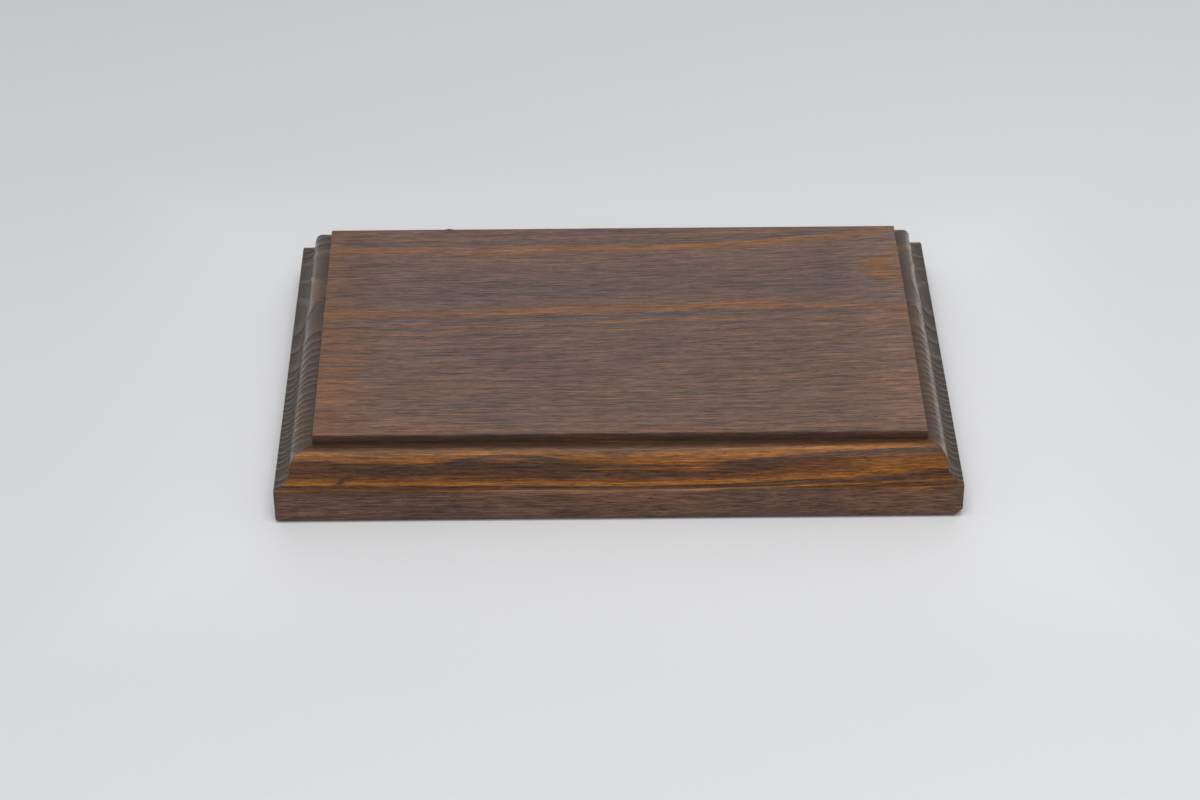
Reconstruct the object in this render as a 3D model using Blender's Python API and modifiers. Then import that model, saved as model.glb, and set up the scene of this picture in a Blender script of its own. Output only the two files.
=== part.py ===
"""Wooden plaque: a stained softwood board with a routed ogee edge and a flush keyhole hanger in its back.

The plaque lies on its back. The origin is the middle of the back face, X runs along the length and the grain,
Y towards the edge that is uppermost on a wall, and Z out through the field. Units are metres.
"""

from math import cos, pi, sin

import bmesh
import bpy

# Board
LENGTH = 0.180
DEPTH = 0.120
THICKNESS = 0.021
BACK_EASE = 0.0005

# Router moulding, measured inwards and upwards from the upright edge
COVE_RADIUS = 0.004
BEAD_RADIUS = 0.005
LEDGE_WIDTH = 0.00025
STEP_HEIGHT = 0.0025
EDGE_HEIGHT = THICKNESS - STEP_HEIGHT - BEAD_RADIUS - COVE_RADIUS
ARC_STEPS = 16

# Hanger plate, an oblong with round ends, upright on the centre line near the top edge
PLATE_LENGTH = 0.046
PLATE_WIDTH = 0.016
PLATE_THICKNESS = 0.0015
PLATE_INSET = 0.0002
PLATE_Y = 0.028

# Keyhole: the wall screw's head enters the round part and slides up the slot
KEYHOLE_ENTRY_RADIUS = 0.0047
KEYHOLE_SLOT_WIDTH = 0.0048
KEYHOLE_ENTRY_Y = PLATE_Y - 0.005
KEYHOLE_SLOT_END_Y = PLATE_Y + 0.007
POCKET_WIDTH = 0.0126
POCKET_DEPTH = 0.0095

# Countersunk wood screws
SCREW_OFFSET_Y = 0.018
SCREW_LENGTH = 0.012
SCREW_HEAD_RADIUS = 0.0028
SCREW_SHANK_RADIUS = 0.0015
SCREW_RIM = 0.0001
SCREW_TIP = 0.003
CROSS_SPAN = 0.0030
CROSS_WIDTH = 0.0007
CROSS_DEPTH = 0.0012

# Clearances
GAP = 0.0003
COUNTERSINK_RADIUS = SCREW_HEAD_RADIUS + 0.0005
COUNTERSINK_DEPTH = 0.0013
PLATE_HOLE_RADIUS = COUNTERSINK_RADIUS - COUNTERSINK_DEPTH
PILOT_RADIUS = SCREW_SHANK_RADIUS + GAP

RECESS_DEPTH = PLATE_INSET + PLATE_THICKNESS + GAP
SCREW_PLACES = {"upper": PLATE_Y + SCREW_OFFSET_Y, "lower": PLATE_Y - SCREW_OFFSET_Y}
CUT_MARGIN = 0.001
ROUND_SEGMENTS = 48
SCREW_SEGMENTS = 32

# Material colours
WOOD_COLOUR = (0.130, 0.062, 0.030)
ZINC_COLOUR = (0.62, 0.62, 0.60)
SCREW_COLOUR = (0.70, 0.70, 0.70)


def empty_scene():
    for obj in list(bpy.data.objects):
        bpy.data.objects.remove(obj, do_unlink=True)


def new_collection(name):
    collection = bpy.data.collections.new(name)
    bpy.context.scene.collection.children.link(collection)
    return collection


def new_material(name, colour, roughness, metallic):
    material = bpy.data.materials.new(name)
    material.use_nodes = True
    shader = material.node_tree.nodes["Principled BSDF"]
    shader.inputs["Base Color"].default_value = (*colour, 1.0)
    shader.inputs["Roughness"].default_value = roughness
    shader.inputs["Metallic"].default_value = metallic
    return material


def new_object(name, mesh, collection, material=None):
    obj = bpy.data.objects.new(name, mesh)
    collection.objects.link(obj)
    if material:
        mesh.materials.append(material)
    return obj


def mesh_from(bm, name):
    mesh = bpy.data.meshes.new(name)
    bm.to_mesh(mesh)
    bm.free()
    return mesh


def cut(target, cutter):
    """Take the cutter's shape out of the target."""
    cutter.hide_render = True
    cutter.display_type = "WIRE"
    boolean = target.modifiers.new(cutter.name, "BOOLEAN")
    boolean.operation = "DIFFERENCE"
    boolean.solver = "EXACT"
    boolean.object = cutter


def moulding_steps():
    """Inward and upward step of each facet of the edge, from the top of the eased back arris to the field."""
    turns = [pi / 2 * i / ARC_STEPS for i in range(ARC_STEPS + 1)]
    cove = [(COVE_RADIUS * sin(t), COVE_RADIUS * (1 - cos(t))) for t in turns]
    bead = [(BEAD_RADIUS * (1 - cos(t)), BEAD_RADIUS * sin(t)) for t in turns]
    steps = [(0.0, EDGE_HEIGHT - BACK_EASE)]
    for arc in (cove, bead):
        steps += [(end[0] - start[0], end[1] - start[1]) for start, end in zip(arc, arc[1:])]
    return steps + [(LEDGE_WIDTH, 0.0), (0.0, STEP_HEIGHT)]


def moulded_board():
    """A thin slab with an eased back, its top face inset and raised once for each facet of the moulding."""
    bm = bmesh.new()
    bmesh.ops.create_cube(bm, size=1.0)
    bmesh.ops.translate(bm, vec=(0, 0, 0.5), verts=bm.verts)
    bmesh.ops.scale(bm, vec=(LENGTH, DEPTH, BACK_EASE), verts=bm.verts)
    back = [vert for vert in bm.verts if vert.co.z < BACK_EASE / 2]
    eased = ((LENGTH - 2 * BACK_EASE) / LENGTH, (DEPTH - 2 * BACK_EASE) / DEPTH, 1)
    bmesh.ops.scale(bm, vec=eased, verts=back)
    bm.normal_update()
    field = max(bm.faces, key=lambda face: face.normal.z)
    for inward, upward in moulding_steps():
        bmesh.ops.inset_individual(bm, faces=[field], thickness=inward, depth=upward, use_even_offset=True)
    return mesh_from(bm, "plaque_board")


def round_ended_prism(name, width, ends_y, span_z, collection):
    """A prism with round ends: a cylinder pulled apart along Y, its end centres at ends_y."""
    bm = bmesh.new()
    height = span_z[1] - span_z[0]
    bmesh.ops.create_cone(
        bm, cap_ends=True, segments=ROUND_SEGMENTS, radius1=width / 2, radius2=width / 2, depth=height
    )
    for vert in bm.verts:
        vert.co.y += ends_y[1] if vert.co.y > 0 else ends_y[0]
        vert.co.z += (span_z[0] + span_z[1]) / 2
    return new_object(name, mesh_from(bm, name), collection)


def round_cutter(name, radii, centre_y, span_z, collection):
    """A cylinder or cone along Z, radii[0] at its lower end and radii[1] at its upper end."""
    bm = bmesh.new()
    height = span_z[1] - span_z[0]
    bmesh.ops.create_cone(
        bm, cap_ends=True, segments=ROUND_SEGMENTS, radius1=radii[0], radius2=radii[1], depth=height
    )
    bmesh.ops.translate(bm, vec=(0, centre_y, (span_z[0] + span_z[1]) / 2), verts=bm.verts)
    return new_object(name, mesh_from(bm, name), collection)


def build_board(parts, cutters):
    wood = new_material("stained_softwood", WOOD_COLOUR, 0.35, 0.0)
    board = new_object("plaque_board", moulded_board(), parts, wood)

    end_reach = (PLATE_LENGTH - PLATE_WIDTH) / 2
    plate_ends = (PLATE_Y - end_reach, PLATE_Y + end_reach)
    recess_span = (-CUT_MARGIN, RECESS_DEPTH)
    recess = round_ended_prism("recess_cutter", PLATE_WIDTH + 2 * GAP, plate_ends, recess_span, cutters)
    cut(board, recess)

    pocket_ends = (KEYHOLE_ENTRY_Y, KEYHOLE_SLOT_END_Y)
    pocket_span = (-CUT_MARGIN, POCKET_DEPTH)
    pocket = round_ended_prism("pocket_cutter", POCKET_WIDTH, pocket_ends, pocket_span, cutters)
    cut(board, pocket)

    pilot_radii = (PILOT_RADIUS, PILOT_RADIUS)
    pilot_span = (-CUT_MARGIN, PLATE_INSET + SCREW_LENGTH + GAP)
    for place, centre_y in SCREW_PLACES.items():
        cut(board, round_cutter("pilot_cutter_" + place, pilot_radii, centre_y, pilot_span, cutters))
    return board


def build_plate(parts, cutters):
    zinc = new_material("zinc_plated_steel", ZINC_COLOUR, 0.32, 1.0)
    end_reach = (PLATE_LENGTH - PLATE_WIDTH) / 2
    plate_ends = (PLATE_Y - end_reach, PLATE_Y + end_reach)
    plate_span = (PLATE_INSET, PLATE_INSET + PLATE_THICKNESS)
    plate = round_ended_prism("keyhole_plate", PLATE_WIDTH, plate_ends, plate_span, parts)
    plate.data.materials.append(zinc)

    through = (plate_span[0] - CUT_MARGIN, plate_span[1] + CUT_MARGIN)
    entry_radii = (KEYHOLE_ENTRY_RADIUS, KEYHOLE_ENTRY_RADIUS)
    cut(plate, round_cutter("entry_cutter", entry_radii, KEYHOLE_ENTRY_Y, through, cutters))
    slot_ends = (KEYHOLE_ENTRY_Y, KEYHOLE_SLOT_END_Y)
    cut(plate, round_ended_prism("slot_cutter", KEYHOLE_SLOT_WIDTH, slot_ends, through, cutters))

    sink_radii = (COUNTERSINK_RADIUS + CUT_MARGIN, PLATE_HOLE_RADIUS)
    sink_span = (PLATE_INSET - CUT_MARGIN, PLATE_INSET + COUNTERSINK_DEPTH)
    hole_radii = (PLATE_HOLE_RADIUS, PLATE_HOLE_RADIUS)
    for place, centre_y in SCREW_PLACES.items():
        cut(plate, round_cutter("countersink_cutter_" + place, sink_radii, centre_y, sink_span, cutters))
        cut(plate, round_cutter("screw_hole_cutter_" + place, hole_radii, centre_y, through, cutters))
    return plate


def screw_profile():
    """Half outline of the screw, head up, from the middle of the head down the outside to the tip."""
    cone_height = SCREW_HEAD_RADIUS - SCREW_SHANK_RADIUS
    return [
        (0.0, 0.0),
        (SCREW_HEAD_RADIUS, 0.0),
        (SCREW_HEAD_RADIUS, -SCREW_RIM),
        (SCREW_SHANK_RADIUS, -SCREW_RIM - cone_height),
        (SCREW_SHANK_RADIUS, SCREW_TIP - SCREW_LENGTH),
        (0.0, -SCREW_LENGTH),
    ]


def build_screw(name, centre_y, steel, parts, cutters):
    """A countersunk screw driven in from the back, so that its head faces down and its tip up."""
    bm = bmesh.new()
    verts = [bm.verts.new((x, 0, z)) for x, z in screw_profile()]
    for upper, lower in zip(verts, verts[1:]):
        bm.edges.new((upper, lower))
    screw = new_object(name, mesh_from(bm, name), parts, steel)
    screw.location = (0, centre_y, PLATE_INSET)
    screw.rotation_euler = (pi, 0, 0)

    turn = screw.modifiers.new("turned", "SCREW")
    turn.steps = SCREW_SEGMENTS
    turn.render_steps = SCREW_SEGMENTS
    turn.use_merge_vertices = True
    turn.merge_threshold = 0.00001
    turn.use_smooth_shade = False

    for arm in range(2):
        bm = bmesh.new()
        bmesh.ops.create_cube(bm, size=1.0)
        bmesh.ops.scale(bm, vec=(CROSS_SPAN, CROSS_WIDTH, 2 * CROSS_DEPTH), verts=bm.verts)
        cross_name = "cross_cutter_%s_%d" % (name, arm)
        cross = new_object(cross_name, mesh_from(bm, cross_name), cutters)
        cross.location = screw.location
        cross.rotation_euler = (0, 0, pi / 2 * arm)
        cut(screw, cross)
    return screw


def main():
    empty_scene()
    parts = new_collection("wooden_plaque")
    cutters = new_collection("cutters")
    build_board(parts, cutters)
    build_plate(parts, cutters)
    bright = new_material("bright_screw_steel", SCREW_COLOUR, 0.28, 1.0)
    for place, centre_y in SCREW_PLACES.items():
        build_screw("keyhole_screw_" + place, centre_y, bright, parts, cutters)


main()
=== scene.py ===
"""The wooden plaque's looks: the board as a fine mesh of solid wood, the hanger, the table, light and camera.

Lengths are in metres. X runs along the grain, Y towards the edge that is uppermost on a wall, and Z out of
the field.
"""

from math import asin, cos, pi, radians, sin

import bmesh
import bpy
import numpy as np
from mathutils import Matrix, Vector, noise
from mathutils.geometry import delaunay_2d_cdt


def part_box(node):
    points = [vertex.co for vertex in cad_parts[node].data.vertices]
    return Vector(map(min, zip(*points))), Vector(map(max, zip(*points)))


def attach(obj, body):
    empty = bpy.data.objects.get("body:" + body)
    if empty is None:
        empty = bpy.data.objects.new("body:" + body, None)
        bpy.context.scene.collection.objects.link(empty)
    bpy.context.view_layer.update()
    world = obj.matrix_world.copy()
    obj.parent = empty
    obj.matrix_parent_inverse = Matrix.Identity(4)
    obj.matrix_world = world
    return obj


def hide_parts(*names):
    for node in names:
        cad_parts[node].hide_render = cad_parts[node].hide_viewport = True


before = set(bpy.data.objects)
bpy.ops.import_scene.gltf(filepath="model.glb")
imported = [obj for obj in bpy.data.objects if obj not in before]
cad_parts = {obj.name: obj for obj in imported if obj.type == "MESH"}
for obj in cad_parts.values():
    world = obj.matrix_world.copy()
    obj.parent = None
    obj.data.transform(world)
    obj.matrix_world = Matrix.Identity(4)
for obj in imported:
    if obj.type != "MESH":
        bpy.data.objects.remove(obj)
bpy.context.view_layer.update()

MM = 0.001

# Board, from the frame
BOARD_LOW, BOARD_HIGH = (np.array(corner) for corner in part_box("plaque_board"))
HALF_LENGTH, HALF_DEPTH = (BOARD_HIGH - BOARD_LOW)[:2] / 2
FIELD_Z = BOARD_HIGH[2]

# Router moulding: a cove above the upright edge, a bead, a narrow ledge and the step up to the field
COVE_RADIUS = 4.0 * MM
BEAD_RADIUS = 5.0 * MM
LEDGE_WIDTH = 0.25 * MM
STEP_HEIGHT = 2.5 * MM
EDGE_HEIGHT = FIELD_Z - STEP_HEIGHT - BEAD_RADIUS - COVE_RADIUS
INSET = COVE_RADIUS + BEAD_RADIUS + LEDGE_WIDTH

# Rounded and worn places
BACK_EASE = 0.8 * MM
ARRIS = 0.15 * MM
FIELD_EASE = 0.25 * MM
UPRIGHT_CORNER = 0.9 * MM
MITRE_CORNER = 0.2 * MM

# The left-hand step runs out of square: by how much at the front, where that sets in and where it fades
LEFT_STEP_SKEW = 0.95 * MM
SKEW_FROM, SKEW_RISE = 5.0 * MM, 4.0 * MM
SKEW_TO, SKEW_FADE = 9.5 * MM, 25.0 * MM

# The bruised lower corner at the front right: how far it reaches along each edge
CHIPPED_CORNER = (2.7 * MM, 3.2 * MM, 2.2 * MM)

# Dents and small knots: place, reach and depth in millimetres, and darkness
MARKS = (
    ((-72.9, -57.2, 10.7), 1.00, 0.40, 1.00),
    ((-76.4, -58.6, 9.8), 0.45, 0.15, 0.30),
    ((-74.0, 30.0, 21.0), 1.10, 0.06, 0.45),
)

# A burr on the far edge of the field, in millimetres: place along X, width, reach along Y and height
BURR_X, BURR_WIDTH, BURR_REACH, BURR_HEIGHT = -47.0, 0.8, 0.7, 0.22

# Hanger: place and size from the frame, and the holes, recess and pocket that belong to it
PLATE_LOW, PLATE_HIGH = (np.array(corner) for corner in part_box("keyhole_plate"))
PLATE_Y = (PLATE_LOW[1] + PLATE_HIGH[1]) / 2
PLATE_WIDTH = PLATE_HIGH[0] - PLATE_LOW[0]
PLATE_REACH = (PLATE_HIGH[1] - PLATE_LOW[1] - PLATE_WIDTH) / 2
PLATE_INSET = PLATE_LOW[2]
PLATE_EASE = 0.25 * MM
RECESS_GAP = 0.3 * MM
RECESS_DEPTH = PLATE_HIGH[2] + RECESS_GAP
ENTRY_RADIUS = 4.7 * MM
SLOT_RADIUS = 2.4 * MM
SLOT_ENDS = (PLATE_Y - 5.0 * MM, PLATE_Y + 7.0 * MM)
POCKET_RADIUS = 6.3 * MM
POCKET_DEPTH = 9.5 * MM
SCREW_NODES = ("keyhole_screw_upper", "keyhole_screw_lower")
SINK_RADIUS = 3.3 * MM
SINK_DEPTH = 1.3 * MM
PILOT_RADIUS = 1.8 * MM
PILOT_DEPTH = 12.5 * MM

# Screws
HEAD_RADIUS = 2.8 * MM
SHANK_RADIUS = 1.5 * MM
SCREW_LENGTH = 12.0 * MM
SCREW_TIP = 3.0 * MM
SCREW_POINT = 0.05 * MM
HEAD_EASE = 0.05 * MM
HEAD_RIM = 0.1 * MM
THREAD_START = 3.0 * MM
THREAD_CELL = 0.15 * MM
THREAD_PITCH = 1.2 * MM
THREAD_DEPTH = 0.35 * MM
CROSS_SPAN = 3.0 * MM
CROSS_WIDTH = 0.7 * MM
CROSS_DEPTH = 1.1 * MM
FLOOR_SPAN = 0.55 * CROSS_SPAN
FLOOR_WIDTH = 0.6 * CROSS_WIDTH

# Mesh fineness: cells along and across the field, cells in each arc of the moulding, points round each hole,
# and how close together points are joined
CELLS_X = 88
CELLS_Y = 330
ARC_CELLS = 14
HOLE_SEGMENTS = 48
WELD = 0.001 * MM


def smooth(t):
    """0 below 0, 1 above 1, and an even bend between."""
    t = np.clip(t, 0.0, 1.0)
    return t * t * (3 - 2 * t)


def band(value, low, high, blend):
    """1 between two values, fading to 0 outside them."""
    return smooth((value - low) / blend + 1) * (1 - smooth((value - high) / blend))


# ---- Growth rings, in millimetres --------------------------------------------------------------------------

# The tree's centre runs along X just under the back of the board, nearer the far edge. It drifts along Y, and
# rises towards the right-hand end
PITH_Y, PITH_DRIFT, PITH_TURN = 24.2, 0.036, 0.00026
PITH_Z = -5.8
PITH_RISE, PITH_RISE_FROM, PITH_RISE_REACH = 4.3, 15.0, 65.0

# Far from the centre the rings stand upright in the board and bow slightly along it
UPRIGHT_FROM, UPRIGHT_REACH = 30.0, 40.0
UPRIGHT_Z = 10.0
BOW_X, BOW_REACH_LEFT, BOW_REACH_RIGHT = 5.0, 76.0, 34.0
BOW, BOW_FLATTENING, BOW_START = 0.65, 0.12, -0.4

# Where the first rings end, how wide the later ones are and how much that varies
FIRST_RADII = (6.0, 12.5, 18.5, 24.7, 32.5, 35.5, 38.1, 40.6, 42.8, 45.0, 47.1, 49.2)
RING_WIDTH, RING_UNEVENNESS = 2.3, 0.28

# The uneven rings of the front moulding: radius, and the years grown by then since the last of the even rings
LAST_STEPS = (
    (75.0, 0.0), (78.0, 0.66), (80.0, 1.0), (80.65, 1.56), (82.3, 2.0), (84.0, 3.0), (86.0, 4.0), (91.0, 6.0),
)

# How far the rings wander: less close to the centre, and less where they stand upright
WARP_RADIUS, WARP_LEAST, WARP_CALM = 55.0, 0.1, 0.75

# How plainly the rings show at each radius
BOLD_RADII = (0.0, 20.0, 22.0, 33.5, 35.5, 73.0, 76.0)
BOLDNESS = (0.45, 0.45, 0.65, 0.9, 0.3, 0.3, 1.0)

# Summer wood, as parts of a year: where it sets in, how slowly, and how soon it stops
SUMMER_FROM, SUMMER_RISE, SUMMER_STOP = 0.45, 0.45, 0.08

# A swelling that pushes the rings outwards: place, reach along X, reach across, amount
SWELLING = (-28.5, -55.1, 16.6)
SWELLING_ALONG, SWELLING_ACROSS, SWELLING_AMOUNT = 12.0, 1.5, 1.5


def years_at(radius):
    """Rings counted from the centre, with the part of a year: wide at first, then narrow and uneven."""
    radii = [0.0, *FIRST_RADII]
    while radii[-1] < LAST_STEPS[0][0] - RING_WIDTH:
        radii.append(radii[-1] + RING_WIDTH * (1 + RING_UNEVENNESS * sin(2.3 * len(radii))))
    years = list(range(len(radii)))
    last_radii, last_years = zip(*LAST_STEPS)
    return np.interp(radius, radii + list(last_radii), years + [len(radii) + year for year in last_years])


def ring_warp(x, y, z):
    """How far the rings at a point wander from true circles."""
    slow = noise.noise((x * 0.012 + 3.1, y * 0.03, z * 0.05))
    middle = noise.noise((x * 0.035, y * 0.11 + 7.7, z * 0.14))
    fine = noise.noise((x * 0.07 + 1.3, y * 0.45, z * 0.45 + 4.2))
    return 1.5 * slow + 0.9 * middle + 0.30 * fine


def grain_lines(points):
    """Each point's distance from the tree's centre, and how far the grain there has drifted along Y."""
    p = np.asarray(points) / MM
    x, y, z = p.T
    pith_drift = PITH_DRIFT * x + PITH_TURN * x * x
    pith_y = PITH_Y + pith_drift
    pith_z = PITH_Z + PITH_RISE * np.maximum(0.0, (x - PITH_RISE_FROM) / PITH_RISE_REACH) ** 4
    far = smooth((pith_y - y - UPRIGHT_FROM) / UPRIGHT_REACH)
    pith_z = pith_z + far * (UPRIGHT_Z - pith_z)
    bend = ((x - BOW_X) / np.where(x < BOW_X, BOW_REACH_LEFT, BOW_REACH_RIGHT)) ** 2
    bow = BOW * bend / (1 + BOW_FLATTENING * bend) + BOW_START
    radius = np.hypot(y - pith_y, z - pith_z) + far * (bow - pith_drift)
    warp = np.array([ring_warp(*point) for point in p])
    radius += warp * np.clip((radius / WARP_RADIUS) ** 2, WARP_LEAST, 1.0) * (1 - WARP_CALM * far)
    away = (p - SWELLING) / (SWELLING_ALONG, SWELLING_ACROSS, SWELLING_ACROSS)
    radius += SWELLING_AMOUNT * np.exp(-((away**2).sum(axis=1)))
    return radius, (1 - far) * pith_drift + far * bow


def latewood(years):
    """How much hard summer wood there is at a place in a ring: it grows slowly and stops at once."""
    part = years - np.floor(years)
    return smooth((part - SUMMER_FROM) / SUMMER_RISE) * np.clip((1.0 - part) / SUMMER_STOP, 0, 1)


# ---- Meshes ------------------------------------------------------------------------------------------------


def arc(centre, radius, start, end, cells):
    """Points along an arc, both ends included, from one angle in degrees to another."""
    turns = [radians(start + (end - start) * i / cells) for i in range(cells + 1)]
    return [(centre[0] + radius * cos(t), centre[1] + radius * sin(t)) for t in turns]


def evenly(start, end, cells):
    """The points between two ends of a straight run, without the ends."""
    return [(start[0] + (end[0] - start[0]) * i / cells, start[1] + (end[1] - start[1]) * i / cells)
            for i in range(1, cells)]


def edge_profile():
    """The board's edge as (inset, height) points, from the back face up to the field."""
    foot = arc((BACK_EASE, BACK_EASE), BACK_EASE, 270, 180, 5)
    brow = arc((ARRIS, EDGE_HEIGHT - ARRIS), ARRIS, 180, 90, 3)
    points = foot + evenly(foot[-1], brow[0], 7) + brow
    cove = arc((0, EDGE_HEIGHT + COVE_RADIUS), COVE_RADIUS, 273, 360, ARC_CELLS)
    bead = arc((COVE_RADIUS + BEAD_RADIUS, EDGE_HEIGHT + COVE_RADIUS), BEAD_RADIUS, 180, 90, ARC_CELLS)
    clear_of_brow = ARRIS + 0.05 * MM
    points += [point for point in cove if point[0] > clear_of_brow] + bead[1:]
    ledge = (INSET, bead[-1][1])
    top = arc((INSET + FIELD_EASE, FIELD_Z - FIELD_EASE), FIELD_EASE, 180, 90, 3)
    return points + [ledge] + evenly(ledge, top[0], 4) + top


def grid_places(half, cells, details=()):
    """Places from -half to half, closer together near both ends for the corners, and around small details."""
    from_end = (0.12 * MM, 0.3 * MM, 0.55 * MM, 0.9 * MM)
    detail_cell, least_cell = 0.45 * MM, 0.04 * MM
    places = list(np.linspace(-half, half, cells + 1))
    places += [sign * (half - gap) for gap in from_end for sign in (-1, 1)]
    places += [detail + step * detail_cell for detail in details for step in range(-3, 4)]
    places = np.array(sorted(places))
    return places[np.concatenate([[True], np.diff(places) > least_cell])]


def round_corner(x, y, half_x, half_y, radius):
    """Moves points of a rectangle's outline that lie in a corner onto the corner's arc."""
    over_x = np.abs(x) - (half_x - radius)
    over_y = np.abs(y) - (half_y - radius)
    corner = (over_x > 0) & (over_y > 0)
    reach = np.hypot(over_x, over_y)
    scale = np.where(corner, radius / np.where(corner, reach, 1.0), 1.0)
    new_x = np.where(corner, np.sign(x) * (half_x - radius + over_x * scale), x)
    new_y = np.where(corner, np.sign(y) * (half_y - radius + over_y * scale), y)
    return new_x, new_y


def ring_outline(across_x, across_y, inset, height):
    """One level of the edge: front side to the right, right side to the back, and round again."""
    half_x, half_y = HALF_LENGTH - inset, HALF_DEPTH - inset
    x = across_x / across_x[-1] * half_x
    y = across_y / across_y[-1] * half_y
    along_x, along_y = np.ones(len(x) - 1), np.ones(len(y) - 1)
    outline_x = np.concatenate([x[:-1], half_x * along_y, x[:0:-1], -half_x * along_y])
    outline_y = np.concatenate([-half_y * along_x, y[:-1], half_y * along_x, y[:0:-1]])
    radius = UPRIGHT_CORNER if height < EDGE_HEIGHT else MITRE_CORNER
    outline_x, outline_y = round_corner(outline_x, outline_y, half_x, half_y, radius)
    return np.stack([outline_x, outline_y, np.full(len(outline_x), height)], axis=1)


def long_round(radius, low_y, high_y, height):
    """Outline of an oblong with round ends on the centre line, or of a circle where both ends are one."""
    turns = [2 * pi * (i + 0.5) / HOLE_SEGMENTS for i in range(HOLE_SEGMENTS)]
    return np.array([
        (radius * cos(t), (high_y if sin(t) > 0 else low_y) + radius * sin(t), height) for t in turns
    ])


def keyhole(grow, height):
    """Outline of the keyhole, grown on all sides: round the entry, then up the slot and over its end."""
    entry, slot = ENTRY_RADIUS + grow, SLOT_RADIUS + grow
    meet = pi / 2 - asin(slot / entry)
    outline = []
    for i in range(HOLE_SEGMENTS):
        t = pi - meet + (pi + 2 * meet) * i / (HOLE_SEGMENTS - 1)
        outline.append((entry * cos(t), SLOT_ENDS[0] + entry * sin(t), height))
    for i in range(HOLE_SEGMENTS // 2):
        t = pi * i / (HOLE_SEGMENTS // 2 - 1)
        outline.append((slot * cos(t), SLOT_ENDS[1] + slot * sin(t), height))
    return np.array(outline)


def cross(span, width, height):
    """Outline of the cross recess in a screw's head."""
    long, short = span / 2, width / 2
    corner = [(long, -short), (long, short), (short, short)]
    outline = []
    for turn in range(4):
        for x, y in corner:
            for _ in range(turn):
                x, y = -y, x
            outline.append((x, y, height))
    return np.array(outline)


def inside_outline(point, outline):
    """Whether a point lies within an outline: a line from it crosses the outline an odd number of times."""
    ahead = np.roll(outline, -1, axis=0)
    crossing = (outline[:, 1] > point[1]) != (ahead[:, 1] > point[1])
    start, end = outline[crossing], ahead[crossing]
    at = start[:, 0] + (point[1] - start[:, 1]) * (end[:, 0] - start[:, 0]) / (end[:, 1] - start[:, 1])
    return bool((at > point[0]).sum() % 2)


def add_sheet(bm, outer, holes, spacing, facing_down):
    """A flat sheet inside one outline, with holes, filled with triangles of about the given spacing."""
    verts, edges = [], []
    for outline in [outer, *holes]:
        first = len(verts)
        verts += [Vector(point[:2]) for point in outline]
        edges += [(first + i, first + (i + 1) % len(outline)) for i in range(len(outline))]
    low, high = outer.min(axis=0), outer.max(axis=0)
    for x in np.arange(low[0] + spacing, high[0] - spacing / 2, spacing):
        for y in np.arange(low[1] + spacing, high[1] - spacing / 2, spacing):
            verts.append(Vector((x, y)))
    flat, _, faces, *_ = delaunay_2d_cdt(verts, edges, [], 0, 1e-7)
    height = outer[0][2]
    made = [bm.verts.new((point[0], point[1], height)) for point in flat]
    for face in faces:
        middle = sum((flat[i] for i in face), Vector((0, 0))) / len(face)
        if not inside_outline(middle, outer) or any(inside_outline(middle, hole) for hole in holes):
            continue
        corners = [made[i] for i in face]
        bm.faces.new(corners[::-1] if facing_down else corners)
    bmesh.ops.delete(bm, geom=[vert for vert in made if not vert.link_faces], context="VERTS")


def add_bands(bm, outlines):
    """Walls that join each outline to the next, facing the hole they run round."""
    levels = [[bm.verts.new(point) for point in outline] for outline in outlines]
    for lower, upper in zip(levels, levels[1:]):
        for i in range(len(lower)):
            j = (i + 1) % len(lower)
            bm.faces.new((lower[i], upper[i], upper[j], lower[j]))


def lifted(outline, height):
    """The same outline at another height."""
    raised = outline.copy()
    raised[:, 2] = height
    return raised


def add_wall(bm, outline, top, cells):
    """The upright inner wall of a hole, from an outline up to a height."""
    bottom = outline[0][2]
    add_bands(bm, [lifted(outline, bottom + (top - bottom) * i / cells) for i in range(cells + 1)])


def screw_centre(node):
    """Where a screw stands along Y."""
    low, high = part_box(node)
    return (low[1] + high[1]) / 2


def wear_outline(points):
    """What hand work did to the true shape: a step that runs out of square, and one bruised corner."""
    x, y, z = points.T
    from_left = HALF_LENGTH + x
    share = smooth((from_left - SKEW_FROM) / SKEW_RISE) * (1 - smooth((from_left - SKEW_TO) / SKEW_FADE))
    to_front = (HALF_DEPTH - y) / (2 * HALF_DEPTH)
    x = x + LEFT_STEP_SKEW * to_front * np.where(z > EDGE_HEIGHT, share, 0.0)

    reach_x, reach_y, reach_z = CHIPPED_CORNER
    depth = 1.0 - ((HALF_LENGTH - x) / reach_x + (HALF_DEPTH + y) / reach_y + z / reach_z)
    step = np.maximum(depth, 0.0) / (1 / reach_x + 1 / reach_y + 1 / reach_z)
    return np.stack([x - step, y + step, z + step], axis=1)


def edge_faces(levels, count):
    """Faces of the moulded edge: each level is a closed loop of points that is joined to the next one."""
    faces = []
    for level in range(levels - 1):
        lower, upper = level * count, (level + 1) * count
        for i in range(count):
            j = (i + 1) % count
            faces.append((lower + i, lower + j, upper + j, upper + i))
    return faces


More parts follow.
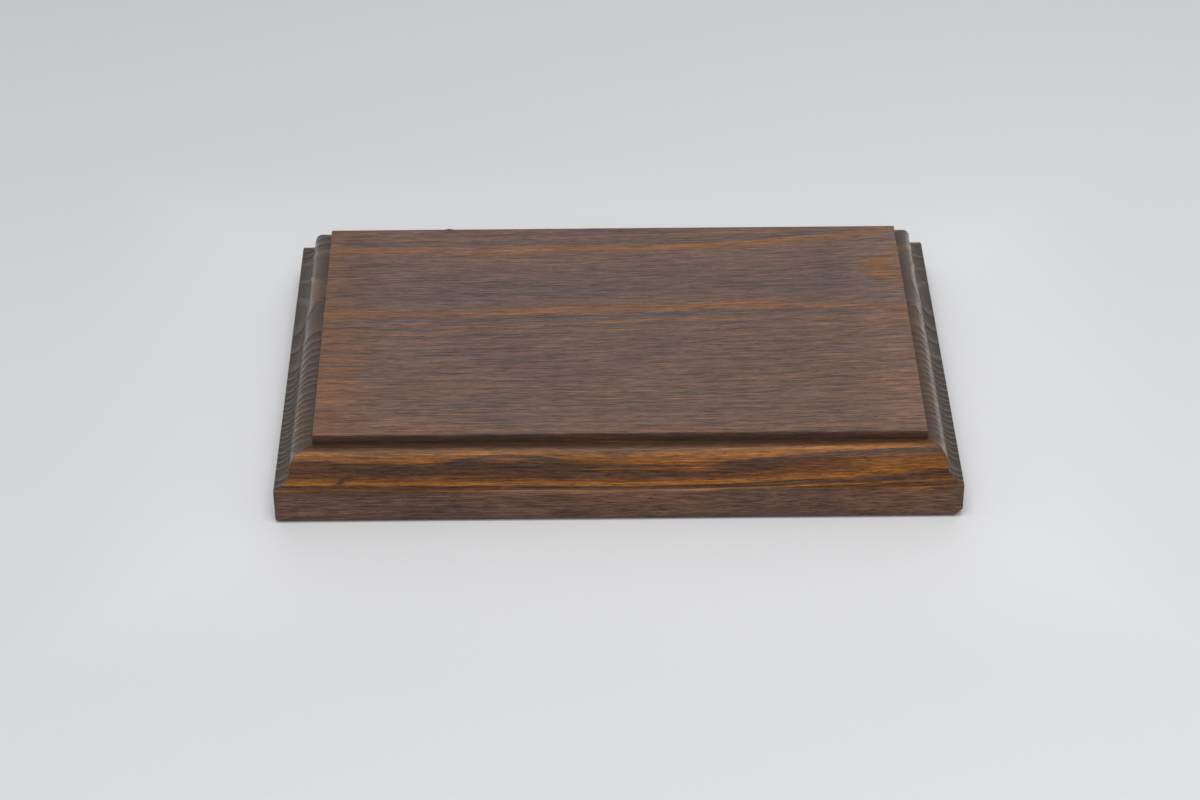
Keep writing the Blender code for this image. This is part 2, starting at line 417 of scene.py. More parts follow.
def close_back(bm, outline):
    """Fills the back of the board, and sinks the hanger's recess, its pocket and the pilot holes into it."""
    recess = long_round(PLATE_WIDTH / 2 + RECESS_GAP, PLATE_Y - PLATE_REACH, PLATE_Y + PLATE_REACH, 0.0)
    pocket = long_round(POCKET_RADIUS, *SLOT_ENDS, RECESS_DEPTH)
    centres = [screw_centre(node) for node in SCREW_NODES]
    pilots = [long_round(PILOT_RADIUS, centre, centre, RECESS_DEPTH) for centre in centres]
    back_spacing, hole_spacing = 3.0 * MM, 2.0 * MM
    add_sheet(bm, outline, [recess], back_spacing, True)
    add_wall(bm, recess, RECESS_DEPTH, 2)
    add_sheet(bm, lifted(recess, RECESS_DEPTH), [pocket, *pilots], hole_spacing, True)
    add_wall(bm, pocket, POCKET_DEPTH, 5)
    add_sheet(bm, lifted(pocket, POCKET_DEPTH), [], hole_spacing, True)
    for pilot in pilots:
        add_wall(bm, pilot, PILOT_DEPTH, 5)
        add_sheet(bm, lifted(pilot, PILOT_DEPTH), [], hole_spacing, True)


def board_mesh():
    """The moulded edge and field as one even grid, closed by the back."""
    profile = edge_profile()
    field_half_x, field_half_y = HALF_LENGTH - profile[-1][0], HALF_DEPTH - profile[-1][0]
    details = [place[0] * MM for place, *_ in MARKS[:2]] + [BURR_X * MM]
    across_x = grid_places(field_half_x, CELLS_X, details)
    across_y = grid_places(field_half_y, CELLS_Y)
    rings = [ring_outline(across_x, across_y, inset, height) for inset, height in profile]
    count = len(rings[0])
    points = np.concatenate(rings)
    faces = edge_faces(len(rings), count)

    # The field's grid shares the points of the topmost level, which runs round it, and fills in the rest
    last = (len(rings) - 1) * count
    cells_x, cells_y = len(across_x) - 1, len(across_y) - 1
    index = np.zeros((cells_x + 1, cells_y + 1), dtype=int)
    index[:, 0] = last + np.arange(cells_x + 1)
    index[-1, :] = last + cells_x + np.arange(cells_y + 1)
    index[::-1, -1] = last + cells_x + cells_y + np.arange(cells_x + 1)
    index[0, ::-1] = (2 * cells_x + cells_y + np.arange(cells_y + 1)) % count + last
    inner_x, inner_y = np.meshgrid(across_x[1:-1], across_y[1:-1], indexing="ij")
    inner = np.stack([inner_x, inner_y, np.full_like(inner_x, FIELD_Z)], axis=-1)
    index[1:-1, 1:-1] = len(points) + np.arange(inner_x.size).reshape(inner_x.shape)
    points = np.concatenate([points, inner.reshape(-1, 3)])
    for i in range(cells_x):
        for j in range(cells_y):
            faces.append((index[i, j], index[i + 1, j], index[i + 1, j + 1], index[i, j + 1]))

    mesh = bpy.data.meshes.new("plaque_board_wood")
    mesh.from_pydata(points.tolist(), [], [tuple(int(v) for v in face) for face in faces])
    bm = bmesh.new()
    bm.from_mesh(mesh)
    close_back(bm, points[:count])
    bmesh.ops.remove_doubles(bm, verts=bm.verts, dist=WELD)
    bm.to_mesh(mesh)
    bm.free()
    mesh.vertices.foreach_set("co", wear_outline(vertex_table(mesh)[0]).ravel())
    mesh.update()
    return mesh


def finished_mesh(bm, name, sharp_from):
    """Joins the sheets and walls of a closed piece and turns all its faces outwards."""
    bmesh.ops.remove_doubles(bm, verts=bm.verts, dist=WELD)
    bmesh.ops.recalc_face_normals(bm, faces=bm.faces)
    mesh = bpy.data.meshes.new(name)
    bm.to_mesh(mesh)
    bm.free()
    mesh.shade_smooth()
    mesh.set_sharp_from_angle(angle=radians(sharp_from))
    return mesh


def plate_mesh():
    """The stamped hanger plate: eased rim, keyhole and two countersunk holes."""
    low, high = PLATE_LOW[2], PLATE_HIGH[2]
    ends = (PLATE_Y - PLATE_REACH, PLATE_Y + PLATE_REACH)
    turns = (0, pi / 6, pi / 3, pi / 2)
    eased = [(PLATE_EASE * (1 - sin(t)), low + PLATE_EASE * (1 - cos(t))) for t in turns]
    edge = eased + [(0.0, high)]
    rims = [long_round(PLATE_WIDTH / 2 - shrink, *ends, height) for shrink, height in edge]
    key_ease, spacing = 0.6, 1.6 * MM
    key = [keyhole(shrink * key_ease, height) for shrink, height in edge]
    bm = bmesh.new()
    sinks, holes = [], []
    for node in SCREW_NODES:
        centre = screw_centre(node)
        narrow = SINK_RADIUS - SINK_DEPTH
        sinks.append(long_round(SINK_RADIUS, centre, centre, low))
        holes.append(long_round(narrow, centre, centre, high))
        add_bands(bm, [sinks[-1], long_round(narrow, centre, centre, low + SINK_DEPTH), holes[-1]])
    add_sheet(bm, rims[0], [key[0], *sinks], spacing, True)
    add_sheet(bm, rims[-1], [key[-1], *holes], spacing, False)
    add_bands(bm, rims)
    add_bands(bm, key)
    return finished_mesh(bm, "keyhole_plate_steel", 35)


def screw_mesh(centre):
    """A countersunk wood screw with a cross recess, its head in the plate and its tip in the board."""
    bm = bmesh.new()
    head = PLATE_INSET

    def level(radius, depth, thread):
        """The screw's outline at a depth below the face of its head, with the thread's groove cut in it."""
        outline = []
        for i in range(HOLE_SEGMENTS):
            t = 2 * pi * (i + 0.5) / HOLE_SEGMENTS
            groove = thread * (0.5 + 0.5 * cos(2 * pi * depth / THREAD_PITCH - t))
            reach = max(radius - groove, SCREW_POINT)
            outline.append((reach * cos(t), centre + reach * sin(t), head + depth))
        return np.array(outline)

    levels = [
        level(HEAD_RADIUS - HEAD_EASE, 0.0, 0.0),
        level(HEAD_RADIUS, HEAD_EASE, 0.0),
        level(HEAD_RADIUS, HEAD_RIM, 0.0),
        level(SHANK_RADIUS, HEAD_RIM + HEAD_RADIUS - SHANK_RADIUS, 0.0),
    ]
    for depth in np.arange(THREAD_START, SCREW_LENGTH - SCREW_POINT, THREAD_CELL):
        to_tip = min(1.0, (SCREW_LENGTH - depth) / SCREW_TIP)
        levels.append(level(SHANK_RADIUS * to_tip, depth, THREAD_DEPTH * to_tip))
    add_bands(bm, levels)
    add_sheet(bm, levels[-1], [], 1.0 * MM, False)

    mouth = cross(CROSS_SPAN, CROSS_WIDTH, head) + (0, centre, 0)
    floor = cross(FLOOR_SPAN, FLOOR_WIDTH, head + CROSS_DEPTH) + (0, centre, 0)
    add_sheet(bm, levels[0], [mouth], 0.8 * MM, True)
    add_bands(bm, [mouth, floor])
    add_sheet(bm, floor, [], 0.6 * MM, True)
    return finished_mesh(bm, "keyhole_screw_steel", 30)


def vertex_table(mesh):
    """The places and the normals of a mesh's vertices."""
    points = np.empty(len(mesh.vertices) * 3)
    normals = np.empty(len(mesh.vertices) * 3)
    mesh.vertices.foreach_get("co", points)
    mesh.vertices.foreach_get("normal", normals)
    return points.reshape(-1, 3), normals.reshape(-1, 3)


def store(mesh, name, values):
    """Keeps one number for each vertex, for the material to read."""
    layer = mesh.attributes.new(name, "FLOAT", "POINT")
    layer.data.foreach_set("value", np.asarray(values, dtype=np.float32))


# ---- What the wood is like at each vertex, and the light and shade painted on it ---------------------------

# Heights that tell the board's faces apart
UPRIGHT_TOP = EDGE_HEIGHT - ARRIS
BEAD_FOOT = EDGE_HEIGHT + COVE_RADIUS
LEDGE_Z = FIELD_Z - STEP_HEIGHT
BELOW_FIELD = FIELD_Z - 0.4 * MM
FIELD_FROM = FIELD_Z - 0.5 * MM

# The stretch before each end where the wood looks different
NEAR_END_X, NEAR_END_REACH = 60 * MM, 18 * MM

# How plainly rings show at least, how much more at the ends, and how plainly on the upright edge
LEAST_BOLDNESS, END_BOLDNESS, UPRIGHT_BOLDNESS = 0.30, 0.25, 0.18

# Relief in millimetres: on long grain, on end grain, how much more on wide rings, and faint waves all over
LONG_RELIEF, END_RELIEF, WIDE_RELIEF, WAVES = 0.018, 0.10, 0.10, 0.03


class Surface:
    """The board's vertices, and on which part of the board each one lies."""

    def __init__(self, mesh):
        self.points, self.normals = vertex_table(mesh)
        self.x, self.y, self.z = self.points.T
        self.left = self.x < 0
        inset_x, inset_y = HALF_LENGTH - np.abs(self.x), HALF_DEPTH - np.abs(self.y)
        self.inset = np.minimum(inset_x, inset_y)
        self.underneath = self.normals[:, 2] < -0.8
        self.on_upright = self.z < UPRIGHT_TOP
        on_edge = (inset_x < INSET + 0.3 * MM) & (self.z < BELOW_FIELD) & ~self.underneath
        self.at_end = (inset_x < inset_y) & on_edge
        self.near_end = smooth((np.abs(self.x) - NEAR_END_X) / NEAR_END_REACH)
        self.on_field = smooth((self.normals[:, 2] - 0.9) / 0.09) * (self.z > FIELD_FROM)
        self.above_cove = smooth((self.z - EDGE_HEIGHT - 0.3 * COVE_RADIUS) / (0.4 * COVE_RADIUS))


def cut_across(board):
    """How far the fibres' cut ends show: fully on the ends' steep faces, and less on top of their bead."""
    steep = smooth((np.abs(board.normals[:, 0]) - 0.3) / 0.4)
    on_bead = (board.z > BEAD_FOOT) & (board.z < LEDGE_Z + 0.1 * MM)
    bead_top = np.where(board.left, 0.4, 0.1)
    end_face = np.where(on_bead, bead_top * (1 - steep) + steep, 1.0)
    return np.where(board.at_end, end_face, steep)


def ring_boldness(board, radius):
    """How plainly the rings show: more towards the ends, and least on the upright edge."""
    bold = np.maximum(np.interp(radius, BOLD_RADII, BOLDNESS), LEAST_BOLDNESS + END_BOLDNESS * board.near_end)
    return np.where(board.on_upright, UPRIGHT_BOLDNESS, bold)


def sheen_share(board):
    """Painted sheen: how much grey is added to the colour of the field and the upright edge, standing in for
    the reflection of the bright surroundings.
    """
    painted_sheen = board.on_field * np.where(board.left, 1 - 0.5 * board.near_end, 1 + 0.3 * board.near_end)
    return np.where(board.on_upright, 0.60, painted_sheen)


def thin_stain(board):
    """Where the field is warmer: towards both ends, and in the near left corner."""
    x, y = board.x / MM, board.y / MM
    from_front = (HALF_DEPTH + board.y) / (2 * HALF_DEPTH)
    glow = np.where(board.left, smooth((-x - 58 - 14 * from_front) / 14), smooth((x - 60) / 16))
    near_corner = 0.8 * smooth((-x - 38) / 16) * smooth((-y - 40) / 6)
    return np.maximum(glow, near_corner) * board.on_field


def rough_cove(board):
    """The cove, which sandpaper hardly reaches, on the two long sides."""
    in_cove = (board.z > EDGE_HEIGHT + 0.1 * MM) & (board.z < EDGE_HEIGHT + 0.8 * COVE_RADIUS)
    return np.where(in_cove & ~board.at_end, 1.0, 0.0)


def painted_highlights(board):
    """Painted highlights: a light stripe along the crest of the ends' bead, and a thin light line along the
    arris at the front.
    """
    above_bead_foot = np.maximum(board.z - BEAD_FOOT, 0.0)
    bead_turn = np.arctan2(COVE_RADIUS + BEAD_RADIUS - board.inset, above_bead_foot)
    crest = band(bead_turn, 0.85, 1.6, 0.25) * board.above_cove
    brow = np.exp(-(((board.z - EDGE_HEIGHT) / (0.25 * MM)) ** 2) - (board.inset / (0.5 * MM)) ** 2)
    brow *= band(board.x / MM, -28.0, 42.0, 12.0) * (board.y < 0)
    return np.where(board.at_end, crest * np.where(board.left, 0.27, 0.80), 0.35 * brow)


def painted_shade(board):
    """Painted shade: darker in the step's corner, a painted contact shadow along the foot, and darker in the
    ends' cove.
    """
    to_corner = np.hypot(board.inset - INSET, board.z - LEDGE_Z)
    reach = np.where(board.at_end, 2.6 * MM, 1.4 * MM)
    shade = 0.55 * (1 - smooth((to_corner - 1.3 * MM) / reach))
    # A painted contact shadow along the foot, where the board meets the table
    foot = 0.8 * (1 - smooth((board.z - 0.2 * MM) / (0.8 * MM)))
    shade = np.where(board.underneath, 0.0, np.maximum(shade, foot))
    return np.where(board.at_end, np.maximum(shade, 0.35 * (1 - board.above_cove)), shade)


def marks(board):
    """How deep, in millimetres, and how dark the dents and knots are."""
    dent, darkening = np.zeros(len(board.points)), np.zeros(len(board.points))
    for place, reach, depth, darkness in MARKS:
        near = np.exp(-(((board.points / MM - place) / reach) ** 2).sum(axis=1))
        dent += depth * near
        darkening = np.maximum(darkening, darkness * near)
    return dent, darkening


def relief(board, end_grain, hard, dent):
    """How far the surface rises, in millimetres: hard summer wood, faint waves, the dents and the burr."""
    upper = smooth((board.z - EDGE_HEIGHT - 0.2 * MM) / (0.6 * MM))
    wide_rings = smooth((board.y - 2 * MM) / (12 * MM))
    proud = LONG_RELIEF + end_grain * upper * (END_RELIEF + WIDE_RELIEF * wide_rings)
    waves = np.array([noise.noise((x * 28, y * 45, z * 30)) for x, y, z in board.points])
    height = proud * (hard - 1.0) + WAVES * (waves - 0.5) - dent
    field_edge = np.exp(-((board.inset - INSET) / (BURR_REACH * MM)) ** 2)
    far_edge = field_edge * (board.z > BELOW_FIELD) * (board.y > 0)
    height += far_edge * BURR_HEIGHT * np.exp(-((board.x / MM - BURR_X) / BURR_WIDTH) ** 2)
    moulding = (board.normals[:, 2] > -0.5) & (board.z > 0.3 * MM) & (board.inset < INSET + 1 * MM)
    return np.where(moulding | (board.z > FIELD_FROM), height, 0.0)


def describe_wood(mesh):
    """Writes on each vertex what the material needs, and raises the hard wood that sanding left proud."""
    board = Surface(mesh)
    radius, drift = grain_lines(board.points)
    years = years_at(radius)
    end_grain = cut_across(board)
    dent, darkening = marks(board)
    store(mesh, "growth", years)
    store(mesh, "drift", drift * MM)
    store(mesh, "figure", ring_boldness(board, radius))
    store(mesh, "end_grain", end_grain)
    store(mesh, "painted_sheen", sheen_share(board))
    store(mesh, "warmth", thin_stain(board))
    store(mesh, "fuzz", rough_cove(board))
    store(mesh, "painted_highlight", painted_highlights(board))
    # Painted shade in the hollows and along the foot, together with the real darkness of the knots and dents
    store(mesh, "shade", np.maximum(painted_shade(board), darkening))
    height = relief(board, end_grain, latewood(years), dent)
    moved = board.points + board.normals * (height * MM)[:, None]
    mesh.vertices.foreach_set("co", moved.ravel())
    mesh.update()


# ---- Materials ---------------------------------------------------------------------------------------------

SPRING_WOOD = (0.103, 0.043, 0.020)
WARM_WOOD = (0.180, 0.070, 0.020)
PAINTED_SHEEN_GREY = (0.027, 0.031, 0.038)
PAINTED_HIGHLIGHT_COLOUR = (0.340, 0.260, 0.190)
PAINTED_SHADE_COLOUR = (0.036, 0.023, 0.017)

# Colours through one year's ring, from its first spring wood to its last summer wood: along the fibres, and
# on their cut ends
RING_COLOURS = (
    (0.0, (0.060, 0.033, 0.022)),
    (0.40, (0.086, 0.038, 0.019)),
    (0.66, (0.140, 0.053, 0.018)),
    (0.84, (0.285, 0.104, 0.016)),
    (0.95, (0.262, 0.091, 0.016)),
    (1.0, (0.070, 0.034, 0.020)),
)
CUT_END_COLOURS = (
    (0.0, (0.034, 0.022, 0.014)),
    (0.55, (0.052, 0.034, 0.022)),
    (0.78, (0.090, 0.060, 0.040)),
    (0.90, (0.125, 0.086, 0.058)),
    (1.0, (0.030, 0.019, 0.012)),
)


class Nodes:
    """Short ways to add and join shader nodes."""

    def __init__(self, name):
        self.material = bpy.data.materials.new(name)
        self.material.use_nodes = True
        self.tree = self.material.node_tree
        self.shader = self.tree.nodes["Principled BSDF"]
        self.place = self.add("ShaderNodeTexCoord").outputs["Object"]

    def add(self, kind, **settings):
        """A new node of a kind, with its settings."""
        node = self.tree.nodes.new(kind)
        for key, value in settings.items():
            setattr(node, key, value)
        return node

    def join(self, value, socket):
        """Links a socket to another node's output, or sets it to a colour or a number."""
        if isinstance(value, bpy.types.NodeSocket):
            self.tree.links.new(value, socket)
        elif socket.type == "RGBA":
            socket.default_value = (*value, 1.0)
        else:
            socket.default_value = value

    def attribute(self, name):
        """A number that is stored on the mesh's vertices."""
        return self.add("ShaderNodeAttribute", attribute_name=name).outputs["Fac"]

    def math(self, operation, *values):
        """One step of arithmetic."""
        node = self.add("ShaderNodeMath", operation=operation)
        for socket, value in zip(node.inputs, values):
            self.join(value, socket)
        return node.outputs[0]

    def product(self, *values):
        """All the values multiplied."""
        result = values[0]
        for value in values[1:]:
            result = self.math("MULTIPLY", result, value)
        return result

    def spread(self, value, low, high, to_low=0.0, to_high=1.0, eased=True):
        """Maps one range of values to another, with eased ends or in a straight line."""
        node = self.add("ShaderNodeMapRange", interpolation_type="SMOOTHSTEP" if eased else "LINEAR")
        names = ("Value", "From Min", "From Max", "To Min", "To Max")
        for name, number in zip(names, (value, low, high, to_low, to_high)):
            self.join(number, node.inputs[name])
        return node.outputs["Result"]

    def mix(self, share, first, second):
        """A blend of two colours, with the second one's share from 0 to 1."""
        node = self.add("ShaderNodeMix", data_type="RGBA")
        self.join(share, node.inputs[0])
        self.join(first, node.inputs[6])
        self.join(second, node.inputs[7])
        return node.outputs[2]

    def scaled(self, colour, amount):
        """A colour made lighter or darker."""
        node = self.add("ShaderNodeVectorMath", operation="SCALE")
        self.join(colour, node.inputs[0])
        self.join(amount, node.inputs["Scale"])
        return node.outputs[0]

    def vectors(self, operation, first, second):
        """Two places or colours added or subtracted."""
        node = self.add("ShaderNodeVectorMath", operation=operation)
        self.join(first, node.inputs[0])
        self.join(second, node.inputs[1])
        return node.outputs[0]

    def ramp(self, value, stops):
        """A colour for each value, from (value, colour) stops."""
        node = self.add("ShaderNodeValToRGB")
        elements = node.color_ramp.elements
        while len(elements) < len(stops):
            elements.new(0.5)
        for element, (place, colour) in zip(elements, stops):
            element.position = place
            element.color = (*colour, 1.0)
        self.join(value, node.inputs[0])
        return node.outputs[0]

    def grain(self, scale, detail=3.0, roughness=0.55):
        """Noise in object space, in cycles per millimetre along each axis."""
        mapping = self.add("ShaderNodeMapping")
        mapping.inputs["Scale"].default_value = [number / MM for number in scale]
        self.tree.links.new(self.place, mapping.inputs["Vector"])
        node = self.add("ShaderNodeTexNoise")
        node.inputs["Scale"].default_value = 1.0
        node.inputs["Detail"].default_value = detail
        node.inputs["Roughness"].default_value = roughness
        self.tree.links.new(mapping.outputs[0], node.inputs["Vector"])
        return node.outputs["Fac"]

    def bump(self, height, distance):
        """Fine relief that the light shows, and the mesh doesn't hold."""
        node = self.add("ShaderNodeBump")
        node.inputs["Distance"].default_value = distance
        node.inputs["Strength"].default_value = 1.0
        self.join(height, node.inputs["Height"])
        self.join(node.outputs["Normal"], self.shader.inputs["Normal"])


def long_grain(n, years, part, figure):
    """Colour, streaks and height along the fibres, with dark pores, clouds and the painted grey sheen."""
    luck = n.add("ShaderNodeTexWhiteNoise", noise_dimensions="1D")
    n.join(n.math("FLOOR", years), luck.inputs["W"])
    streak = n.grain((0.045, 2.3, 2.3), 5.0, 0.70)
    dash = n.grain((0.10, 1.9, 1.9), 3.0, 0.6)
    fibre = n.grain((0.22, 4.5, 4.5), 3.0, 0.65)
    cloud = n.grain((0.014, 0.05, 0.05), 3.0)
    pore = n.grain((0.45, 4.0, 4.0), 2.0, 0.5)
    patch = n.grain((0.035, 0.6, 0.6), 2.0)

    # Some years show more than others, and each one shows in patches
    show = n.product(figure, n.spread(luck.outputs["Value"], 0.0, 1.0, 0.65, 1.1, eased=False))
    show = n.product(show, n.spread(patch, 0.35, 0.65, 0.55, 1.25))
    wood = n.mix(n.math("MINIMUM", show, 1.0), SPRING_WOOD, n.ramp(part, RING_COLOURS))
    warmth = n.product(n.attribute("warmth"), n.spread(patch, 0.3, 0.7, 0.1, 0.9))
    wood = n.mix(warmth, wood, WARM_WOOD)
    summer = n.product(n.spread(part, 0.55, 0.85), show)
    # Painted sheen: grey added to the colour where the finish would reflect the bright surroundings, less on
    # summer wood
    painted_sheen = n.product(
        n.attribute("painted_sheen"),
        n.spread(summer, 0.0, 0.8, 1.0, 0.25),
        n.spread(cloud, 0.3, 0.7, 1.25, 0.75),
    )
    wood = n.vectors("ADD", wood, n.scaled(PAINTED_SHEEN_GREY, painted_sheen))
    tone = n.product(
        n.spread(streak, 0.30, 0.70, 0.50, 1.50, eased=False),
        n.spread(fibre, 0.30, 0.70, 0.38, 1.62, eased=False),
        n.spread(dash, 0.52, 0.62, 1.07, 0.72),
        n.spread(cloud, 0.3, 0.7, 0.86, 1.14),
        n.spread(pore, 0.30, 0.40, 0.45, 1.03),
    )
    height = n.math("ADD", n.product(streak, 0.5), n.product(fibre, 0.5))
    return n.scaled(wood, tone), streak, height


def wood_material():
    """Dark-stained softwood: soft spring wood drinks the stain and goes brown, summer wood stays amber."""
    n = Nodes("stained_softwood")
    end_grain, figure = n.attribute("end_grain"), n.attribute("figure")

    # The fibres follow the grain where it drifts across the board
    follow = n.add("ShaderNodeCombineXYZ")
    n.join(n.attribute("drift"), follow.inputs["Y"])
    n.place = n.vectors("SUBTRACT", n.place, follow.outputs[0])

    # The rings waver, and bold ones and cut ends do so less
    waver = n.math("MULTIPLY_ADD", n.grain((0.03, 1.3, 1.3), 4.0), 0.7, -0.35)
    waver = n.product(waver, n.spread(n.math("MAXIMUM", figure, end_grain), 0.3, 1.0, 1.0, 0.35))
    years = n.math("ADD", n.attribute("growth"), waver)
    part = n.math("FRACT", years)
    wood, streak, long_height = long_grain(n, years, part, figure)
    cell = n.grain((0.4, 2.6, 2.6), 4.0, 0.6)
    ends = n.scaled(n.ramp(part, CUT_END_COLOURS), n.spread(cell, 0.3, 0.7, 0.7, 1.3, eased=False))
    colour = n.mix(end_grain, wood, ends)

    # Painted highlights: a light stripe on the ends' bead crest, brightest on the ridges of summer wood, and
    # a thin light line on the front arris
    ridge = n.product(n.spread(part, 0.55, 0.88), n.spread(part, 0.90, 1.0, 1.0, 0.0))
    rubbed = n.product(n.attribute("painted_highlight"), n.spread(n.math("MAXIMUM", ridge, cell), 0.35, 0.95, 0.30, 1.30))
    colour = n.mix(n.math("MINIMUM", rubbed, 1.0), colour, PAINTED_HIGHLIGHT_COLOUR)
    # Painted shade in the hollows and along the foot, and the real darkness of the knots and dents
    colour = n.mix(n.attribute("shade"), colour, PAINTED_SHADE_COLOUR)
    n.join(colour, n.shader.inputs["Base Color"])

    end_height = n.math("ADD", n.product(ridge, 2.3), n.product(cell, 0.6))
    n.bump(n.mix(end_grain, long_height, end_height), 0.05 * MM)
    rough = n.spread(streak, 0.2, 0.8, 0.40, 0.28, eased=False)
    rough = n.math("MULTIPLY_ADD", end_grain, -0.08, rough)
    n.join(n.math("MULTIPLY_ADD", n.attribute("fuzz"), 0.4, rough), n.shader.inputs["Roughness"])
    n.shader.inputs["Specular IOR Level"].default_value = 0.22
    return n.material


def zinc_material():
    """Zinc plating: pale grey with faint rolling marks along the plate and a slight mottle."""
    n = Nodes("zinc_plated_steel")
    n.shader.inputs["Metallic"].default_value = 1.0
    brushed = n.grain((4.0, 0.12, 1.0), 4.0, 0.6)
    mottle = n.grain((0.35, 0.35, 0.35), 2.0)
    tint = n.mix(mottle, (0.56, 0.57, 0.58), (0.68, 0.67, 0.63))
    tint = n.scaled(tint, n.spread(brushed, 0.3, 0.7, 0.92, 1.06, eased=False))
    n.join(tint, n.shader.inputs["Base Color"])
    n.join(n.spread(brushed, 0.3, 0.7, 0.28, 0.40, eased=False), n.shader.inputs["Roughness"])
    n.bump(brushed, 0.01 * MM)
    return n.material


def screw_material():
    """Bright plated screw steel, a little duller where the driver has rubbed it."""
    n = Nodes("screw_steel")
    n.shader.inputs["Metallic"].default_value = 1.0
    rubbed = n.grain((1.6, 1.6, 1.6), 3.0)
    n.join(n.mix(rubbed, (0.62, 0.62, 0.61), (0.76, 0.76, 0.75)), n.shader.inputs["Base Color"])
    n.join(n.spread(rubbed, 0.3, 0.7, 0.24, 0.38, eased=False), n.shader.inputs["Roughness"])
    return n.material


def add_piece(mesh, node, material):
    """Puts a piece in the scene in place of its CAD node."""
    piece = bpy.data.objects.new(mesh.name, mesh)
    bpy.context.scene.collection.objects.link(piece)
    mesh.materials.append(material)
    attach(piece, "root")
    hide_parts(node)


def build_plaque():
    """The board, the hanger plate and its two screws."""
    board = board_mesh()
    describe_wood(board)
    board.shade_smooth()
    board.set_sharp_from_angle(angle=radians(38))
    add_piece(board, "plaque_board", wood_material())
    add_piece(plate_mesh(), "keyhole_plate", zinc_material())
    steel = screw_material()
    for node in SCREW_NODES:
        mesh = screw_mesh(screw_centre(node))
        mesh.name = node + "_steel"
        add_piece(mesh, node, steel)


# ---- Table, light and camera -------------------------------------------------------------------------------

TABLE_GAP = 0.3 * MM
LENS = 93.9
SENSOR = 36.0
CAMERA_PLACE = (-0.01084, -0.71390, 0.49435)
CAMERA_PAN = 0.521
CAMERA_TILT = 34.905
CAMERA_ROLL = -0.212
PAPER_HALF = 3.0
# Paper colours near and far: the far one is painted darker and bluer, as the light falls off
PAPER_NEAR, PAPER_FAR = (0.78, 0.785, 0.805), (0.745, 0.76, 0.79)
PAPER_FAR_Y = 0.26
PAPER_SIDE_X = 0.2
PAINTED_LIGHT_REACH = 0.07


def build_table():
    """White paper with painted light: darker and a shade bluer towards the back and darker towards the left,
    as the light falls off, and a painted pool of light close round the plaque.
    """
    corners = ((-1, -1), (1, -1), (1, 1), (-1, 1))
    mesh = bpy.data.meshes.new("table")
    mesh.from_pydata([(x * PAPER_HALF, y * PAPER_HALF, 0) for x, y in corners], [], [(0, 1, 2, 3)])
    table = bpy.data.objects.new("table", mesh)
    table.location.z = -TABLE_GAP
    bpy.context.scene.collection.objects.link(table)
    n = Nodes("table_paper")
    split = n.add("ShaderNodeSeparateXYZ")
    n.join(n.place, split.inputs[0])
    paper = n.mix(n.spread(split.outputs["Y"], 0.0, PAPER_FAR_Y), PAPER_NEAR, PAPER_FAR)
    across, along = n.math("ABSOLUTE", split.outputs["X"]), n.math("ABSOLUTE", split.outputs["Y"])
    beside = n.math("SUBTRACT", across, float(HALF_LENGTH))
    beside = n.math("MAXIMUM", beside, n.math("SUBTRACT", along, float(HALF_DEPTH)))
    # A painted pool of light close round the plaque, and the paper painted darker towards the left
    glow = n.spread(beside, 0.0, PAINTED_LIGHT_REACH, 1.08, 1.0)
    painted_side_falloff = n.spread(split.outputs["X"], -PAPER_SIDE_X, PAPER_SIDE_X, 0.96, 1.04)
    paper = n.scaled(paper, n.product(glow, painted_side_falloff))
    n.join(paper, n.shader.inputs["Base Color"])
    n.shader.inputs["Roughness"].default_value = 0.6
    n.shader.inputs["Specular IOR Level"].default_value = 0.2
    mesh.materials.append(n.material)


def area_light(name, place, size, watts, colour):
    """A rectangular soft light that faces the table under the middle of the plaque."""
    data = bpy.data.lights.new(name, "AREA")
    data.shape = "RECTANGLE"
    data.size, data.size_y = size
    data.energy = watts
    data.color = colour
    light = bpy.data.objects.new(name, data)
    light.location = place
    light.rotation_euler = (Vector((0, 0, 0)) - Vector(place)).to_track_quat("-Z", "Y").to_euler()
    bpy.context.scene.collection.objects.link(light)


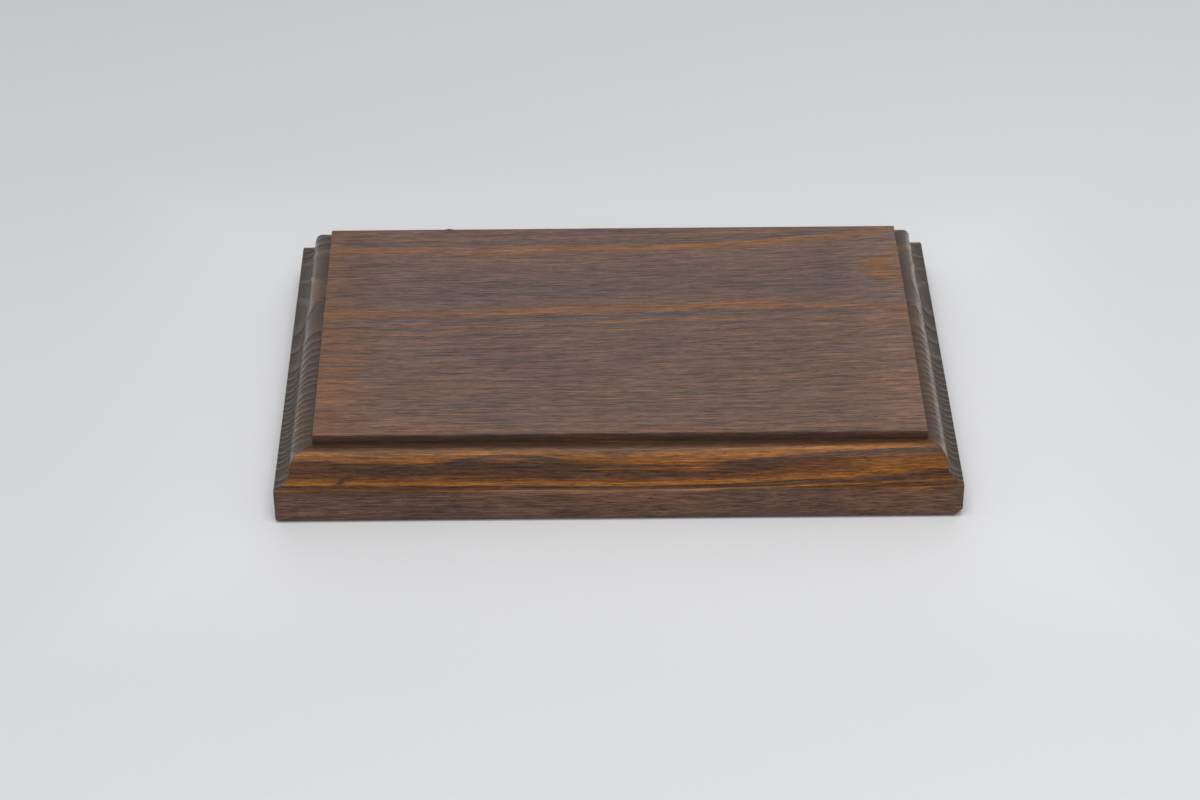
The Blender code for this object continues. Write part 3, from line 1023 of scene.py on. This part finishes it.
def build_light():
    """A light tent: soft light all round, a brighter panel behind, and lamps in front and overhead."""
    world = bpy.data.worlds.new("light_tent")
    world.use_nodes = True
    tree = world.node_tree
    direction = tree.nodes.new("ShaderNodeTexCoord")
    split = tree.nodes.new("ShaderNodeSeparateXYZ")
    tree.links.new(direction.outputs["Generated"], split.inputs[0])

    def step(axis, low, high, to_low, to_high):
        """An eased step of brightness along one axis of the direction looked in."""
        node = tree.nodes.new("ShaderNodeMapRange")
        node.interpolation_type = "SMOOTHSTEP"
        for name, number in (("From Min", low), ("From Max", high), ("To Min", to_low), ("To Max", to_high)):
            node.inputs[name].default_value = number
        tree.links.new(split.outputs[axis], node.inputs["Value"])
        return node.outputs["Result"]

    def combine(operation, first, second):
        """Two brightnesses added or multiplied."""
        node = tree.nodes.new("ShaderNodeMath")
        node.operation = operation
        tree.links.new(first, node.inputs[0])
        tree.links.new(second, node.inputs[1])
        return node.outputs[0]

    panel = combine("MULTIPLY", step("Y", 0.55, 0.78, 0.0, 1.0), step("Z", -0.1, 0.45, 0.50, 0.66))
    sides = combine("MULTIPLY", step("Y", -0.8, 0.1, 0.8, 1.0), step("Z", 0.6, 1.0, 0.36, 0.30))
    background = tree.nodes["Background"]
    background.inputs["Color"].default_value = (0.97, 0.985, 1.0, 1.0)
    tree.links.new(combine("ADD", panel, sides), background.inputs["Strength"])
    bpy.context.scene.world = world
    area_light("front_softbox", (0.0, -0.95, 0.90), size=(1.1, 0.8), watts=5.5, colour=(1.0, 0.99, 0.97))
    area_light("overhead_softbox", (0.0, -0.22, 1.15), size=(0.7, 0.10), watts=4.6, colour=(1.0, 0.99, 0.98))


def build_camera():
    """The camera, level but for a slight roll, looking down at the plaque from the front."""
    pan, tilt, roll = radians(CAMERA_PAN), radians(CAMERA_TILT), radians(CAMERA_ROLL)
    forward = Vector((sin(pan) * cos(tilt), cos(pan) * cos(tilt), -sin(tilt)))
    level_right = Vector((cos(pan), -sin(pan), 0))
    level_up = level_right.cross(forward)
    right = cos(roll) * level_right + sin(roll) * level_up
    up = cos(roll) * level_up - sin(roll) * level_right
    data = bpy.data.cameras.new("camera")
    data.lens = LENS
    data.sensor_width = SENSOR
    data.clip_start = 0.01
    camera = bpy.data.objects.new("camera", data)
    axes = Matrix((right, up, -forward)).transposed().to_4x4()
    camera.matrix_world = Matrix.Translation(CAMERA_PLACE) @ axes
    bpy.context.scene.collection.objects.link(camera)
    bpy.context.scene.camera = camera


build_camera()
build_light()
build_table()
build_plaque()
bpy.context.scene.view_settings.view_transform = "Standard"
